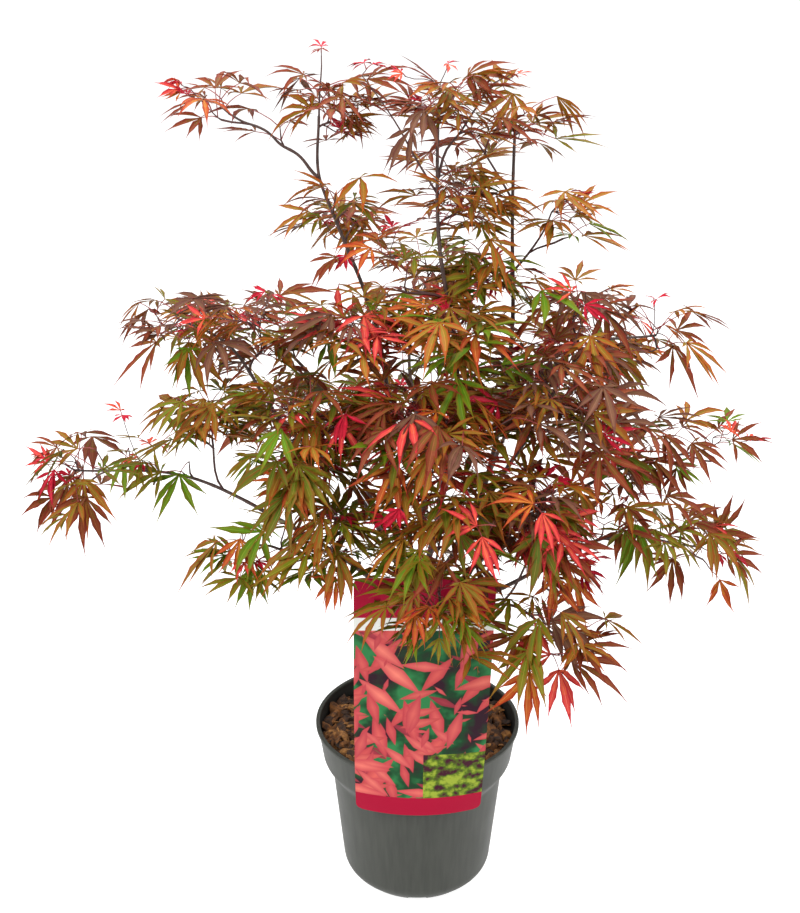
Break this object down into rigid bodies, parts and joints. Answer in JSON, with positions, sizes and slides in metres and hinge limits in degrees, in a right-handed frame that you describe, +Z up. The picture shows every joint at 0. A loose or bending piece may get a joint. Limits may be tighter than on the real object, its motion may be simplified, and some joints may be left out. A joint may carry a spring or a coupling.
{
  "type": "potted japanese maple",
  "caption": "Young Japanese maple with an open crown of slender limbs and flat tiers of narrow-lobed red, bronze and green leaves, in a round plastic nursery pot with a plant card on its rim.",
  "frame": {"origin": "middle of the flat underside of the pot", "axes": "+Z up, -Y towards the plant card, +X to the right when the card is faced"},
  "size_m": [0.6185, 0.4432, 0.754],
  "materials": {
    "pot": "satin",
    "substrate": "matte",
    "card": "satin",
    "bark": "matte",
    "leaves_bronze": "satin",
    "leaves_red": "satin",
    "leaves_olive": "satin",
    "leaves_green": "satin"
  },
  "bodies": {
    "root": {"pot": "pot", "substrate": "substrate", "plant_card": "card", "trunk": "bark", "stem_left": "bark", "stem_centre": "bark", "stem_right": "bark", "limb_top_left": "bark", "limb_left_shoulder": "bark", "limb_left_arm": "bark", "limb_left_low": "bark", "limb_right_shoulder": "bark", "limb_right_arm": "bark", "limb_right_low": "bark", "limb_right_skirt": "bark", "limb_front": "bark", "limb_back_left": "bark", "limb_back_right": "bark", "limb_back": "bark", "limb_back_low": "bark", "tier_top_left_tip": "leaves_bronze", "tier_top_left": "leaves_bronze", "tier_top_centre": "leaves_bronze", "tier_top_right": "leaves_bronze", "tier_upper_left": "leaves_olive", "tier_upper_centre": "leaves_bronze", "tier_upper_right_tip": "leaves_olive", "tier_high_left": "leaves_olive", "tier_high_right": "leaves_olive", "tier_left_shoulder_tip": "leaves_bronze", "tier_left_shoulder": "leaves_bronze", "tier_mid_left": "leaves_red", "tier_mid_centre": "leaves_olive", "tier_right_shoulder": "leaves_bronze", "tier_right_shoulder_tip": "leaves_bronze", "tier_left_flank_tip": "leaves_green", "tier_left_flank": "leaves_olive", "tier_heart": "leaves_red", "tier_right_flank": "leaves_red", "tier_right_arm": "leaves_bronze", "tier_right_arm_tip": "leaves_bronze", "tier_left_arm_tip": "leaves_bronze", "tier_left_arm": "leaves_green", "tier_left_low_tip": "leaves_green", "tier_left_low": "leaves_green", "tier_front_low": "leaves_olive", "tier_front_apron": "leaves_olive", "tier_right_low_front": "leaves_red", "tier_right_low": "leaves_olive", "tier_right_low_tip": "leaves_olive", "tier_right_skirt": "leaves_red", "tier_right_apron": "leaves_olive", "tier_back_top": "leaves_bronze", "tier_back_high": "leaves_bronze", "tier_back_left": "leaves_bronze", "tier_back": "leaves_bronze", "tier_back_right": "leaves_red", "tier_back_low_left": "leaves_olive", "tier_back_low": "leaves_green", "tier_back_low_right": "leaves_olive"}
  },
  "joints": []
}
